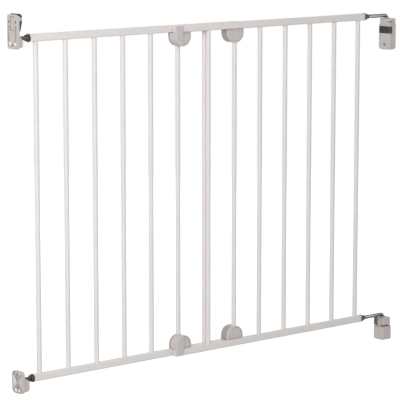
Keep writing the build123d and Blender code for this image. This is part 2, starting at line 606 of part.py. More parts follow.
def lever_side():
    """Outline of the thumb lever seen from the side: thick at the top, running to a thin toe."""
    crown_start = (LEVER_OUT - LEVER_CROWN, LEVER_TOP)
    crown_end = (LEVER_OUT, LEVER_TOP - LEVER_CROWN)
    outline = TangentArc(crown_start, crown_end, tangent=(1, 0))
    outline += Polyline(crown_end, (LEVER_OUT, LEVER_SLOPE_TOP), (LEVER_TOE_OUT, LEVER_TOE),
                        (LEVER_TOE_OUT - LEVER_TOE_THICKNESS, LEVER_TOE), (LEVER_BACK, LEVER_SLOPE_TOP),
                        (LEVER_BACK, LEVER_TOP), crown_start)
    return make_face(outline.edges())


def thumb_lever():
    """Black release lever: a wedge in the bracket's tray with a catch above the stud."""
    half = UPPER_LATCH_WIDTH / 2 - TRAY_WALL - MOVING_GAP
    pivot = (LEVER_PIVOT_OUT, LEVER_PIVOT_RISE)
    body = across(lever_side(), half)
    front = RectangleRounded(2 * half, LEVER_TOP - LEVER_TOE, LEVER_CORNER)
    body &= slab(Pos(0, (LEVER_TOP + LEVER_TOE) / 2) * front, 0, LEVER_OUT)
    catch_back = CATCH_OUT - CATCH_THICKNESS
    catch = polygon((catch_back, CATCH_TOP), (CATCH_OUT, CATCH_TOP),
                    (CATCH_OUT, CATCH_RISE + CATCH_CHAMFER), (CATCH_OUT - CATCH_CHAMFER, CATCH_RISE),
                    (catch_back, CATCH_RISE))
    body += across(catch, CATCH_WIDTH / 2)
    body += rod_y(LEVER_HUB_DIAMETER / 2, -half, half, *pivot)
    spring_room = LEVER_HUB_DIAMETER / 2 + 2 * MOVING_GAP
    body -= rod_y(spring_room, half - LEVER_SPRING_LENGTH - MOVING_GAP, half, *pivot)
    body -= rod_y(LEVER_PIN_DIAMETER / 2 + RUNNING_FIT, -half, half, *pivot)
    return Pos(LATCH_WALL_X, LATCH_FRAME_Y, TOP_RAIL_Z) * body


def lever_pin():
    """Pivot pin of the thumb lever."""
    reach = UPPER_LATCH_WIDTH / 2 - LEVER_PIN_SUNK
    pin = rod_y(LEVER_PIN_DIAMETER / 2, -reach, reach, LEVER_PIVOT_OUT, LEVER_PIVOT_RISE)
    return Pos(LATCH_WALL_X, LATCH_FRAME_Y, TOP_RAIL_Z) * pin


def lever_spring():
    """Coil of the torsion spring that returns the lever, as a sleeve on the pin."""
    end = UPPER_LATCH_WIDTH / 2 - TRAY_WALL - MOVING_GAP
    span = (end - LEVER_SPRING_LENGTH, end)
    inner = LEVER_PIN_DIAMETER / 2 + 2 * RUNNING_FIT
    coil = rod_y(inner + LEVER_SPRING_WIRE, *span, LEVER_PIVOT_OUT, LEVER_PIVOT_RISE)
    coil -= rod_y(inner, *span, LEVER_PIVOT_OUT, LEVER_PIVOT_RISE)
    return Pos(LATCH_WALL_X, LATCH_FRAME_Y, TOP_RAIL_Z) * coil


def clip_plane(y):
    """Drawing plane of a clip: X from the bar's axis, Y down from the rail."""
    return Plane(origin=(0, y, 0), x_dir=(1, 0, 0), z_dir=(0, 1, 0))


def moon_outline(inset=0.0):
    """Half-moon with a straight skirt below the rail and a round end."""
    radius = CLIP_RADIUS - inset
    top = MOVING_GAP + inset
    outline = Polyline((radius, CLIP_SKIRT), (radius, top), (-radius, top), (-radius, CLIP_SKIRT))
    outline += ThreePointArc((-radius, CLIP_SKIRT), (0, CLIP_SKIRT + radius), (radius, CLIP_SKIRT))
    return make_face(outline.edges())


def half_moon(y_from, y_to, inset=0.0):
    """Half-moon slab under a rail."""
    return extrude(clip_plane(y_from) * moon_outline(inset), amount=y_to - y_from)


def clip_tab():
    """Raised half of a clip's front, which runs on over the other frame's rail."""
    rise = RAIL_HEIGHT - TAB_SHORT
    tab_middle = TAB_WIDTH / 2 - CLIP_RADIUS - TAB_PROUD
    strip = Pos(tab_middle, 0) * Rectangle(TAB_WIDTH, 4 * CLIP_RADIUS)
    on_disc = moon_outline(-TAB_PROUD) & strip
    on_rail = Pos(tab_middle, (CLIP_SKIRT - rise) / 2) * Rectangle(TAB_WIDTH, CLIP_SKIRT + rise)
    back_y = CLIP_FRONT_Y - MOVING_GAP
    tab = extrude(clip_plane(back_y - TAB_THICKNESS) * (on_disc + on_rail), amount=TAB_THICKNESS)
    front = tab.faces().sort_by(Axis.Y)[0]
    tab = fillet(front.edges(), CLIP_EDGE)
    root = CLIP_EDGE + CLIP_RECESS + MOVING_GAP
    return tab + extrude(clip_plane(back_y) * on_disc, amount=root)


def clip_bar_groove():
    """Room for the bar that a clip closes round."""
    radius = BAR_DIAMETER / 2 + CLIP_BAR_CLEARANCE
    return rod_z(radius, -3 * CLIP_RADIUS, 0, 0, LATCH_FRAME_Y)


def clip_screw(from_tab, past=0.0):
    """Pan-head screw that closes a clip, or with a gap past it the hole for it."""
    if from_tab:
        head_y, inward = CLIP_FRONT_Y + CLIP_RECESS, 1
        end_y = LATCH_FRAME_Y + CLIP_SCREW_GRIP
    else:
        head_y, inward = CLIP_BACK_Y - CLIP_RECESS, -1
        end_y = LATCH_FRAME_Y - CLIP_SCREW_GRIP
    seat_y = head_y + inward * CLIP_SCREW_HEAD_HEIGHT
    shank = rod_y(CLIP_SCREW_DIAMETER / 2, *sorted((seat_y, end_y)), CLIP_SCREW_OUT, -CLIP_SCREW_DROP)
    head = sorted((head_y - inward * past, seat_y))
    return shank + rod_y(CLIP_SCREW_HEAD / 2 - RUNNING_FIT + past, *head, CLIP_SCREW_OUT, -CLIP_SCREW_DROP)


def clip_tab_shell(screw_from_tab):
    """Clip half with the tab that lies over the other frame's rail."""
    body = half_moon(CLIP_FRONT_Y, LATCH_FRAME_Y)
    front = body.faces().sort_by(Axis.Y)[0]
    body = fillet(front.edges(), CLIP_EDGE)
    body -= half_moon(CLIP_FRONT_Y, CLIP_FRONT_Y + CLIP_RECESS, CLIP_RIM)
    body += clip_tab()
    body -= clip_bar_groove()
    return body - clip_screw(screw_from_tab, RUNNING_FIT)


def clip_plain_shell(screw_from_tab):
    """Clip half behind the bar."""
    body = half_moon(LATCH_FRAME_Y, CLIP_BACK_Y)
    back = body.faces().sort_by(Axis.Y)[-1]
    body = fillet(back.edges(), CLIP_EDGE)
    body -= half_moon(CLIP_BACK_Y - CLIP_RECESS, CLIP_BACK_Y, CLIP_RIM)
    body -= clip_bar_groove()
    return body - clip_screw(screw_from_tab, RUNNING_FIT)


def to_bottom(piece):
    """The same piece on the bottom rails."""
    return mirror(piece, about=Plane.XY.offset(MIDDLE_Z))


def to_latch_side(piece):
    """A clip piece under the top rails, where the latch side's clip closes."""
    return Pos(LATCH_CLIP_X, 0, CLIP_FACE_Z) * piece


def to_hinge_side(piece):
    """The same clip piece turned round for the other frame."""
    turn = Pos(HINGE_CLIP_X, CLIP_MIDDLE_Y, CLIP_FACE_Z) * Rot(0, 0, 180) * Pos(0, -CLIP_MIDDLE_Y, 0)
    return turn * piece


def group(*pieces):
    """Separate solids kept together as one node."""
    return Compound(children=[solid for piece in pieces for solid in piece.solids()])


def frame_pieces(name, y, first_bar_x, rail_x, outer_end, inner_end):
    """Rails, bars, plugs and caps of one welded frame."""
    outward = 1 if outer_end > inner_end else -1
    pieces = {}
    caps = []
    for place, z in (("top", TOP_RAIL_Z), ("bottom", BOTTOM_RAIL_Z)):
        pieces[f"{name}_{place}_rail"] = rail(rail_x, y, z)
        pieces[f"{name}_{place}_plug"] = rail_plug(outer_end, outward, y, z, PLUG_FLANGE, PLUG_DEPTH, True)
        caps.append(rail_plug(inner_end, -outward, y, z, CAP_FLANGE, CAP_DEPTH, False))
    pieces[f"{name}_inner_caps"] = group(*caps)
    for index in range(BARS_PER_FRAME):
        pieces[f"{name}_bar_{index + 1}"] = bar(first_bar_x + index * BAR_PITCH, y)
    return pieces


def clip_pieces(name, place_clip, screw_from_tab):
    """Shells and screws of the two clips that one frame carries."""
    tab_shell = place_clip(clip_tab_shell(screw_from_tab))
    plain_shell = place_clip(clip_plain_shell(screw_from_tab))
    screw = place_clip(clip_screw(screw_from_tab))
    return {
        f"{name}_top_clip_tab_shell": tab_shell,
        f"{name}_top_clip_shell": plain_shell,
        f"{name}_bottom_clip_tab_shell": to_bottom(tab_shell),
        f"{name}_bottom_clip_shell": to_bottom(plain_shell),
        f"{name}_clip_screws": group(screw, to_bottom(screw)),
    }


def all_pieces():
    """Every node of the gate, by name."""
    pieces = {}
    pieces |= frame_pieces("latch", LATCH_FRAME_Y, LATCH_OUTER_BAR_X, LATCH_RAIL_X, *LATCH_RAIL_X)
    pieces |= frame_pieces("hinge", HINGE_FRAME_Y, HINGE_INNER_BAR_X, HINGE_RAIL_X, *HINGE_RAIL_X[::-1])
    pieces |= clip_pieces("latch", to_latch_side, False)
    pieces |= clip_pieces("hinge", to_hinge_side, True)
    latch_nut_face = LATCH_RAIL_X[0] - PLUG_FLANGE
    hinge_nut_face = HINGE_RAIL_X[1] + PLUG_FLANGE
    for place, z in (("upper", TOP_RAIL_Z), ("lower", BOTTOM_RAIL_Z)):
        pieces[f"{place}_stud_nut"] = nut(latch_nut_face, -1, LATCH_FRAME_Y, z, 0)
        pieces[f"{place}_hook_nut"] = nut(hinge_nut_face, 1, HINGE_FRAME_Y, z, NUT_COLLAR)
    pieces["upper_stud"] = stud(UPPER_STUD_END, TOP_RAIL_Z)
    pieces["lower_stud"] = stud(LOWER_STUD_END, BOTTOM_RAIL_Z)
    pieces["upper_hook"] = upper_hook()
    pieces["lower_hook"] = lower_hook()
    pieces["stop_pin"] = stop_pin()
    pieces["upper_hinge_bush"] = bush(UPPER_HINGE_TOP, UPPER_BUSH_DEPTH, 0)
    pieces["lower_hinge_bush"] = bush(LOWER_HINGE_TOP, LOWER_BUSH_DEPTH, BUSH_FLOOR)
    pieces["upper_hinge_housing"] = upper_hinge_housing()
    pieces["lock_slide"] = lock_slide()
    pieces["lower_hinge_bracket"] = lower_hinge_bracket()
    pieces["lower_hinge_screw_caps"] = group(*[screw_cap(rise) for rise in LOWER_SCREW_RISES])
    pieces["upper_latch_base"] = upper_latch_base()
    pieces["thumb_lever"] = thumb_lever()
    pieces["lever_pin"] = lever_pin()
    pieces["lever_spring"] = lever_spring()
    pieces["lower_latch_bracket"] = lower_latch_bracket()
    return pieces


os.makedirs("parts", exist_ok=True)
for node, piece in all_pieces().items():
    export_step(piece, f"parts/{node}.step")
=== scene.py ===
# %% [markdown]
# A wall-fixed baby gate, dressed for a studio picture.
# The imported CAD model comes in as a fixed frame: its pieces keep their shape and place.
# This script gives each piece its finish, adds what is too fine for the CAD model, such as
# screw threads, weld seams and screw heads, and then sets up the floor, the lights and the camera.

# %% Load the frame
import json
import math

import bmesh
import bpy
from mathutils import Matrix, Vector


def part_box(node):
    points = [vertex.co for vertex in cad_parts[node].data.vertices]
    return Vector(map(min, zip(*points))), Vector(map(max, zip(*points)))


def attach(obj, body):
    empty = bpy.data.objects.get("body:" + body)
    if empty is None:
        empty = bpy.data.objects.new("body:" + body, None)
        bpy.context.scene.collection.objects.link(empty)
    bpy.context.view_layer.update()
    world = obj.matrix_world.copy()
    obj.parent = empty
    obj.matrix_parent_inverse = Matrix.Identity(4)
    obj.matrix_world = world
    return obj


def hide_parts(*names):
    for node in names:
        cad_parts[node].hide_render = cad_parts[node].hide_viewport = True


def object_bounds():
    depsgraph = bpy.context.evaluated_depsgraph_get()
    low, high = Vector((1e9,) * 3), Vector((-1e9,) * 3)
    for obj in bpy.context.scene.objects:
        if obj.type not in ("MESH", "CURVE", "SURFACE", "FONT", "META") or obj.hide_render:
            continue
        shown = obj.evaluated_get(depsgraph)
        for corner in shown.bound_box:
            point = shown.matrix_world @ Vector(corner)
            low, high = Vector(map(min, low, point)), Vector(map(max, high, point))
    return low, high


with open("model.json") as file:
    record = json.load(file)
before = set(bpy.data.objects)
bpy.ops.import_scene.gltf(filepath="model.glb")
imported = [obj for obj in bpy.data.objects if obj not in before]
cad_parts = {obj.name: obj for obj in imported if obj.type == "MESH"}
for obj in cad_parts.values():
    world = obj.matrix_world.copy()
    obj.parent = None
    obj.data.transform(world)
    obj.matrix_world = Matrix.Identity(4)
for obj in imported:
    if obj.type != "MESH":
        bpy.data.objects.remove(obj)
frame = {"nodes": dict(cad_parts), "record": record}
CAD_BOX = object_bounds()
MM = 0.001
slot_of_node = {part["node"]: part["material_slot"] for part in frame["record"]["subparts"]}

# %% [markdown]
# Colours are written as the sRGB hex values that a colour picker shows.
# Blender's shaders work in linear light, so one function converts them.
# A second function adds a shader node, sets its values and links its inputs. A key that is the name
# or the number of an input sets that input, and any other key sets a property of the node.
# Two more start a material and link its colour, its roughness and its bump to the shader.


# %% Helpers for colours and nodes
def linear(hex_colour):
    """Linear RGBA of an sRGB hex colour."""
    channels = [int(hex_colour[i:i + 2], 16) / 255 for i in (1, 3, 5)]
    return [c / 12.92 if c <= 0.04045 else ((c + 0.055) / 1.055) ** 2.4 for c in channels] + [1.0]


def add_node(tree, kind, settings, links):
    """One shader node with its settings and its links."""
    node = tree.nodes.new(kind)
    for key, value in settings.items():
        if isinstance(key, int) or key in node.inputs:
            node.inputs[key].default_value = value
        else:
            setattr(node, key, value)
    for key, socket in links.items():
        tree.links.new(socket, node.inputs[key])
    return node


def new_material(name):
    """Material with a Principled shader, its node tree and the place of a surface point."""
    material = bpy.data.materials.new(name)
    material.use_nodes = True
    tree = material.node_tree
    shader = tree.nodes["Principled BSDF"]
    place = add_node(tree, "ShaderNodeTexCoord", {}, {}).outputs["Object"]
    return material, tree, shader, place


def link_shader(tree, shader, tint, gloss, bump):
    """Link the nodes of a colour, a roughness and a bump to the shader."""
    tree.links.new(tint.outputs[2], shader.inputs["Base Color"])
    tree.links.new(gloss.outputs["Result"], shader.inputs["Roughness"])
    tree.links.new(bump.outputs["Normal"], shader.inputs["Normal"])


# %% [markdown]
# The two frames are welded steel tube with a polyester powder coat, sprayed on and baked.
# The powder melts into a skin with a soft, slightly rippled gloss, called orange peel, and the coat
# is a little thinner, and so a little darker, in long uneven clouds.
# A noise of a few millimetres drives a faint bump, and a slow one varies colour and roughness.
# Real orange peel is about 1.5 mm wide; it is drawn at 3 mm so that it shows in the picture.

# %% Powder coat
ORANGE_PEEL = 3.0 * MM
COAT_CLOUD = 90.0 * MM
EDGE_ROUNDING = 0.4 * MM


def powder_coat():
    """Semi-gloss warm white powder coat on steel tube."""
    material, tree, shader, place = new_material("white_powder_coat_on_steel")
    cloud = add_node(tree, "ShaderNodeTexNoise", {"Scale": 1 / COAT_CLOUD, "Detail": 3.0},
                     {"Vector": place})
    tint = add_node(tree, "ShaderNodeMix",
                    {"data_type": "RGBA", 6: linear("#E1DCD9"), 7: linear("#EAE6E3")},
                    {0: cloud.outputs["Fac"]})
    gloss = add_node(tree, "ShaderNodeMapRange", {"To Min": 0.48, "To Max": 0.60},
                     {"Value": cloud.outputs["Fac"]})
    peel = add_node(tree, "ShaderNodeTexNoise", {"Scale": 1 / ORANGE_PEEL, "Detail": 1.0},
                    {"Vector": place})
    edge = add_node(tree, "ShaderNodeBevel", {"samples": 4, "Radius": EDGE_ROUNDING}, {})
    bump = add_node(tree, "ShaderNodeBump", {"Strength": 0.25, "Distance": 0.04 * MM},
                    {"Height": peel.outputs["Fac"], "Normal": edge.outputs["Normal"]})
    link_shader(tree, shader, tint, gloss, bump)
    shader.inputs["IOR"].default_value = 1.48
    shader.inputs["Specular IOR Level"].default_value = 0.35
    return material


# %% [markdown]
# Plugs, clips, brackets, bushes and levers are injection moulded: polyethylene, ABS and nylon.
# A mould is spark eroded to a fine grain, which scatters the light, so moulded plastic looks satin.
# The grain is about 0.2 mm in a real mould; it is drawn coarser so that it shows close up.
# An occlusion node finds the corners of such a surface, along ribs and joints, and darkens the colour
# there: this is painted shade.
# All of them are the same kind of surface, so one function takes the colour, the grain and the gloss.

# %% Moulded plastics
FLOW_CLOUD = 25.0 * MM
CORNER_REACH = 5.0 * MM


def moulded_plastic(name, dark, light, corner_shade, grain, roughness, ior):
    """Satin injection-moulded plastic with a spark-eroded grain and painted shade in its corners."""
    material, tree, shader, place = new_material(name)
    cloud = add_node(tree, "ShaderNodeTexNoise", {"Scale": 1 / FLOW_CLOUD, "Detail": 4.0},
                     {"Vector": place})
    unshaded = add_node(tree, "ShaderNodeMix", {"data_type": "RGBA", 6: linear(dark), 7: linear(light)},
                     {0: cloud.outputs["Fac"]})
    # Painted shade: the occlusion mixes the colour towards the corner shade colour in corners and along
    # ribs.
    corner = add_node(tree, "ShaderNodeAmbientOcclusion", {"samples": 8, "Distance": CORNER_REACH}, {})
    share = add_node(tree, "ShaderNodeMapRange", {"From Min": 0.35, "From Max": 0.95},
                     {"Value": corner.outputs["AO"]})
    tint = add_node(tree, "ShaderNodeMix", {"data_type": "RGBA", 6: linear(corner_shade)},
                    {0: share.outputs["Result"], 7: unshaded.outputs[2]})
    gloss = add_node(tree, "ShaderNodeMapRange", {"To Min": roughness - 0.06, "To Max": roughness + 0.06},
                     {"Value": cloud.outputs["Fac"]})
    pits = add_node(tree, "ShaderNodeTexNoise", {"Scale": 1 / grain, "Detail": 2.0}, {"Vector": place})
    edge = add_node(tree, "ShaderNodeBevel", {"samples": 4, "Radius": EDGE_ROUNDING}, {})
    bump = add_node(tree, "ShaderNodeBump", {"Strength": 0.35, "Distance": 0.05 * MM},
                    {"Height": pits.outputs["Fac"], "Normal": edge.outputs["Normal"]})
    link_shader(tree, shader, tint, gloss, bump)
    shader.inputs["IOR"].default_value = ior
    return material


# %% [markdown]
# Studs, nuts, hooks, pins and screws are cold-headed or rolled steel with a zinc plate.
# Clear zinc is a mid grey. Black zinc is nearly black and sealed with a thin clear film, which keeps
# sharp highlights. A dark specular tint darkens both where the surface is seen edge on: a painted dark
# reflection.
# Drawing the wire through its die leaves bright and dull streaks along the rod, so the noise is stretched
# along X, the way the rods lie. Real streaks are a few tenths of a millimetre wide; they are drawn at
# 1.6 mm so that they show in the picture.

# %% Plated steels
DRAW_MARK = 1.6 * MM
DRAW_LENGTH = 40.0 * MM


def plated_steel(name, dark, light, roughness, lacquer):
    """Zinc-plated steel with drawing marks along the rod and a share of clear sealer."""
    material, tree, shader, place = new_material(name)
    marks = add_node(tree, "ShaderNodeMapping", {"Scale": (DRAW_MARK / DRAW_LENGTH, 1.0, 1.0)},
                     {"Vector": place})
    grain = add_node(tree, "ShaderNodeTexNoise", {"Scale": 1 / DRAW_MARK, "Detail": 3.0},
                     {"Vector": marks.outputs["Vector"]})
    streak = add_node(tree, "ShaderNodeMapRange", {"From Min": 0.36, "From Max": 0.64},
                      {"Value": grain.outputs["Fac"]})
    tint = add_node(tree, "ShaderNodeMix", {"data_type": "RGBA", 6: linear(dark), 7: linear(light)},
                    {0: streak.outputs["Result"]})
    gloss = add_node(tree, "ShaderNodeMapRange", {"To Min": roughness + 0.1, "To Max": roughness - 0.06},
                     {"Value": streak.outputs["Result"]})
    edge = add_node(tree, "ShaderNodeBevel", {"samples": 4, "Radius": EDGE_ROUNDING / 2}, {})
    bump = add_node(tree, "ShaderNodeBump", {"Strength": 0.2, "Distance": 0.02 * MM},
                    {"Height": grain.outputs["Fac"], "Normal": edge.outputs["Normal"]})
    link_shader(tree, shader, tint, gloss, bump)
    shader.inputs["Metallic"].default_value = 1.0
    # Painted dark reflection: this tint darkens the metal where its surface is seen edge on.
    shader.inputs["Specular Tint"].default_value = linear("#303030")
    shader.inputs["Coat Weight"].default_value = lacquer
    shader.inputs["Coat Roughness"].default_value = 0.12
    return material


# %% [markdown]
# The record names a material slot for every CAD node. A table gives each slot its finish.
# The clips are the one exception: their rear shells get a darker grey.

# %% Give every CAD node its finish
GRAIN = 0.8 * MM
REAR_SHELLS = ("latch_top_clip_shell", "latch_bottom_clip_shell",
               "hinge_top_clip_tab_shell", "hinge_bottom_clip_tab_shell")
# The third colour of each moulded plastic is the painted shade in its corners.
rear_shell = moulded_plastic("abs_rear_clip_shell", "#A39D99", "#ADA7A3", "#6E6965", GRAIN, 0.48, 1.54)
finishes = {
    "white_powder_coat": powder_coat(),
    "light_plug_plastic": moulded_plastic("polyethylene_end_plug", "#DDD8D5", "#E6E2DF", "#B5AFAB",
                                          GRAIN, 0.45, 1.51),
    "clip_plastic": moulded_plastic("abs_clip_shell", "#C8C2C0", "#D1CBC9", "#8E8883", GRAIN, 0.48, 1.54),
    "bracket_plastic": moulded_plastic("abs_wall_bracket", "#C1BBB7", "#CBC5C1", "#857F7A",
                                       GRAIN, 0.48, 1.54),
    "black_plastic": moulded_plastic("black_abs_lever", "#2B2929", "#363433", "#1E1C1C",
                                     GRAIN, 0.38, 1.54),
    "bush_nylon": moulded_plastic("natural_nylon_bush", "#CFCAC0", "#D8D4CB", "#A39E94",
                                  GRAIN, 0.35, 1.53),
    "dark_zinc_steel": plated_steel("black_zinc_steel", "#262726", "#6A6B6A", 0.20, 0.4),
    "hook_steel": plated_steel("clear_zinc_hook_steel", "#434443", "#B2B2AF", 0.20, 0.1),
    "zinc_steel": plated_steel("clear_zinc_screw_steel", "#7A7B7A", "#A2A2A0", 0.3, 0.0),
}
for node, piece in frame["nodes"].items():
    piece.data.materials.clear()
    piece.data.materials.append(rear_shell if node in REAR_SHELLS else finishes[slot_of_node[node]])
print("finishes:", len(finishes) + 1)

# %% [markdown]
# The fine pieces are all built the same way: a row of rings of points is drawn along the piece, and
# faces are stretched between neighbouring rings, as a boat's planks are over its ribs.
# A bevelled curve could make some of them, but not a thread, whose groove winds round the rod.
# One function skins the rings, and one makes an object of the skins, gives it the finish of a material
# slot and lets it ride on the body that carries it.

# %% Helpers for pieces made of rings
SHARP_EDGE = math.radians(55)


def skin(rings, loop=False):
    """Vertices and faces over rings of equally many points. An open row of rings gets closed ends."""
    count = len(rings[0])
    vertices = [point for ring in rings for point in ring]
    faces = []
    for row in range(len(rings) if loop else len(rings) - 1):
        here, there = row * count, (row + 1) % len(rings) * count
        for i in range(count):
            after = (i + 1) % count
            faces.append((here + i, here + after, there + after, there + i))
    if not loop:
        faces += [tuple(range(count)), tuple(range(len(vertices) - count, len(vertices)))]
    return vertices, faces


def add_piece(name, skins, body, slot, finish=None):
    """One mesh object from several skins, in the finish of its slot, riding on a body."""
    vertices, faces = [], []
    for skin_vertices, skin_faces in skins:
        faces += [[index + len(vertices) for index in face] for face in skin_faces]
        vertices += skin_vertices
    mesh = bpy.data.meshes.new(name)
    mesh.from_pydata(vertices, [], faces)
    shape = bmesh.new()
    shape.from_mesh(mesh)
    bmesh.ops.recalc_face_normals(shape, faces=shape.faces)
    shape.to_mesh(mesh)
    shape.free()
    mesh.shade_smooth()
    mesh.set_sharp_from_angle(angle=SHARP_EDGE)
    mesh.materials.append(finish or finishes[slot])
    piece = bpy.data.objects.new(name, mesh)
    bpy.context.collection.objects.link(piece)
    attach(piece, body)
    print(name, "has", len(faces), "faces")
    return piece


# %% [markdown]
# The two latch studs and the lower hook are M8 rods with a rolled thread of 1.25 mm pitch.
# In the CAD model they are plain rods, so each is replaced by a rod of the same length and thickness
# whose radius dips once for every turn round it and every pitch along it: that is a helix.
# Thread is drawn only where it shows. Inside the rails and the bushes the rods stay plain.
# The hook's thread is left oily from rolling, so it is darker than the plain hook above it.

# %% Threaded rods
THREAD_PITCH = 1.25 * MM
THREAD_DEPTH = 0.65 * MM
ROWS_PER_PITCH = 8
ROD_POINTS = 32
DOME_ROWS = 6
PLAIN_AFTER_DOME = 0.3 * MM
HIDDEN_THREAD = 8.0 * MM
HOOK_BEND = 7.0 * MM
BEND_ROWS = 12
PLAIN_BEFORE_BEND = 2.0 * MM
oiled_thread = plated_steel("oiled_zinc_thread_steel", "#2C2D2C", "#8A8B88", 0.22, 0.2)


def rod_rings(path, stations):
    """Rings along a rod. The path gives a centre and two directions across it for a distance along the
    rod, and each station is a distance, a radius and a share of the thread's depth."""
    rings = []
    for along, radius, share in stations:
        centre, side, up = path(along)
        ring = []
        for index in range(ROD_POINTS):
            angle = 2 * math.pi * index / ROD_POINTS
            groove = 0.5 - 0.5 * math.cos(2 * math.pi * along / THREAD_PITCH - angle)
            reach = radius - share * THREAD_DEPTH * groove
            ring.append(centre + reach * (math.cos(angle) * side + math.sin(angle) * up))
        rings.append(ring)
    return rings


def thread_stations(start, end, radius):
    """Stations of a thread that runs in and out over one pitch."""
    rows = int((end - start) / THREAD_PITCH * ROWS_PER_PITCH)
    places = [start + row * THREAD_PITCH / ROWS_PER_PITCH for row in range(rows + 1)]
    return [(place, radius, min(1.0, (place - start) / THREAD_PITCH, (places[-1] - place) / THREAD_PITCH))
            for place in places]


def threaded_stud(place):
    """Latch stud with a domed tip, threaded from the tip to its nut."""
    low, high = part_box(f"{place}_stud")
    middle = (low + high) / 2
    radius = (high.y - low.y) / 2
    stations = []
    for row in range(1, DOME_ROWS + 1):
        turn = math.pi / 2 * row / DOME_ROWS
        stations.append((radius - radius * math.cos(turn), radius * math.sin(turn), 0.0))
    thread_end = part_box(f"{place}_stud_nut")[1].x + HIDDEN_THREAD - low.x
    stations += thread_stations(radius + PLAIN_AFTER_DOME, thread_end, radius)
    stations.append((high.x - low.x, radius, 0.0))

    def path(along):
        return Vector((low.x + along, middle.y, middle.z)), Vector((0, 1, 0)), Vector((0, 0, 1))

    skins = [skin(rod_rings(path, stations))]
    stud = add_piece(f"{place}_threaded_stud", skins, f"{place}_stud", "dark_zinc_steel")
    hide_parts(f"{place}_stud")


def threaded_hook():
    """Lower hinge hook: a threaded arm, a bend and a plain leg."""
    low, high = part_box("lower_hook")
    radius = (high.y - low.y) / 2
    leg_x, arm_z = high.x - radius, high.z - radius
    arm = leg_x - HOOK_BEND - low.x
    bend = HOOK_BEND * math.pi / 2
    whole = arm + bend + arm_z - HOOK_BEND - low.z

    def path(along):
        turn = min(max((along - arm) / HOOK_BEND, 0.0), math.pi / 2)
        out = Vector((math.sin(turn), 0, math.cos(turn)))
        centre = Vector((leg_x - HOOK_BEND, (low.y + high.y) / 2, arm_z - HOOK_BEND)) + HOOK_BEND * out
        centre.x += min(along - arm, 0.0)
        centre.z -= max(along - arm - bend, 0.0)
        return centre, Vector((0, 1, 0)), out

    thread_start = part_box("lower_hook_nut")[0].x - HIDDEN_THREAD - low.x
    stations = [(0.0, radius, 0.0)]
    stations += thread_stations(thread_start, arm - PLAIN_BEFORE_BEND, radius)
    stations += [(arm + bend * row / BEND_ROWS, radius, 0.0) for row in range(BEND_ROWS + 1)]
    stations.append((whole, radius, 0.0))
    skins = [skin(rod_rings(path, stations))]
    hook = add_piece("lower_threaded_hook", skins, "hinge_hooks", "hook_steel", oiled_thread)
    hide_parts("lower_hook")


threaded_stud("upper")
threaded_stud("lower")
threaded_hook()

# %% [markdown]
# Every bar is welded to its rails all round, before the frame is coated. A weld bead is a narrow
# rounded fillet with small ripples, one for each dab of the torch, and the coat softens it.
# Each bead is a closed row of small rings along the line where the round bar meets the rail, which
# rises a little at the sides because the rail's corners are rounded. Beads inside clips are left out.

# %% Weld beads
BEAD_RADIUS = 0.9 * MM
BEAD_RIPPLE = 0.12
BEAD_RIPPLES = 22
BEAD_ROWS = 66
BEAD_POINTS = 8
RAIL_CORNER = 2.5 * MM
BARS_PER_FRAME = 7
CLIPPED_BARS = {"latch": 6, "hinge": 2}


def weld_bead(bar, rail, rail_face, facing):
    """Closed bead where a bar meets the face of a rail. Facing is -1 under a rail and 1 on top of one."""
    low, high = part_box(bar)
    rail_low, rail_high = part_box(rail)
    centre = (low + high) / 2
    bar_radius = (high.x - low.x) / 2
    flat = (rail_high.y - rail_low.y) / 2 - RAIL_CORNER
    rings = []
    for row in range(BEAD_ROWS):
        turn = 2 * math.pi * row / BEAD_ROWS
        outward = Vector((math.cos(turn), math.sin(turn), 0))
        past_flat = max(0.0, abs(bar_radius * outward.y) - flat)
        sunk = RAIL_CORNER - math.sqrt(RAIL_CORNER ** 2 - past_flat ** 2)
        root = Vector((centre.x, centre.y, rail_face - facing * sunk)) + bar_radius * outward
        thick = BEAD_RADIUS * (1 + BEAD_RIPPLE * math.cos(BEAD_RIPPLES * turn))
        rings.append([root + thick * (math.cos(a) * outward + math.sin(a) * Vector((0, 0, 1)))
                      for a in (2 * math.pi * i / BEAD_POINTS for i in range(BEAD_POINTS))])
    return skin(rings, loop=True)


for side in ("latch", "hinge"):
    beads = []
    for number in range(1, BARS_PER_FRAME + 1):
        if number != CLIPPED_BARS[side]:
            bar = f"{side}_bar_{number}"
            beads.append(weld_bead(bar, f"{side}_top_rail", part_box(f"{side}_top_rail")[0].z, -1))
            beads.append(weld_bead(bar, f"{side}_bottom_rail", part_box(f"{side}_bottom_rail")[1].z, 1))
    add_piece(f"{side}_weld_beads", beads, f"{side}_frame", "white_powder_coat")

# %% [markdown]
# Each clip is closed from the back by a small pan-head screw with a cross recess, cold-headed and
# zinc plated.
# The CAD model has plain heads, so the screws are replaced. The recess needs no cutting: the last rings
# change from a circle to the outline of a cross and then go down to a smaller cross at its floor.
# The head's profile is a row of points: a share of its radius and a share of its height.

# %% Clip screws
SCREW_SHANK = 1.5 * MM
HEAD_HEIGHT = 2.0 * MM
RECESS_ARM = 1.7 * MM
RECESS_HALF_WIDTH = 0.45 * MM
RECESS_DEPTH = 1.1 * MM
RECESS_FLOOR = 0.75
HEAD_PROFILE = ((1.0, 0.0), (1.0, 0.45), (0.94, 0.75), (0.8, 0.93), (0.66, 1.0))
SCREW_POINTS = 48


def cross_reach(angle):
    """Distance from the middle to the outline of the cross recess in a direction."""
    across, along = sorted((abs(math.sin(angle)), abs(math.cos(angle))))
    return min(RECESS_HALF_WIDTH / max(across, 0.001), RECESS_ARM / along)


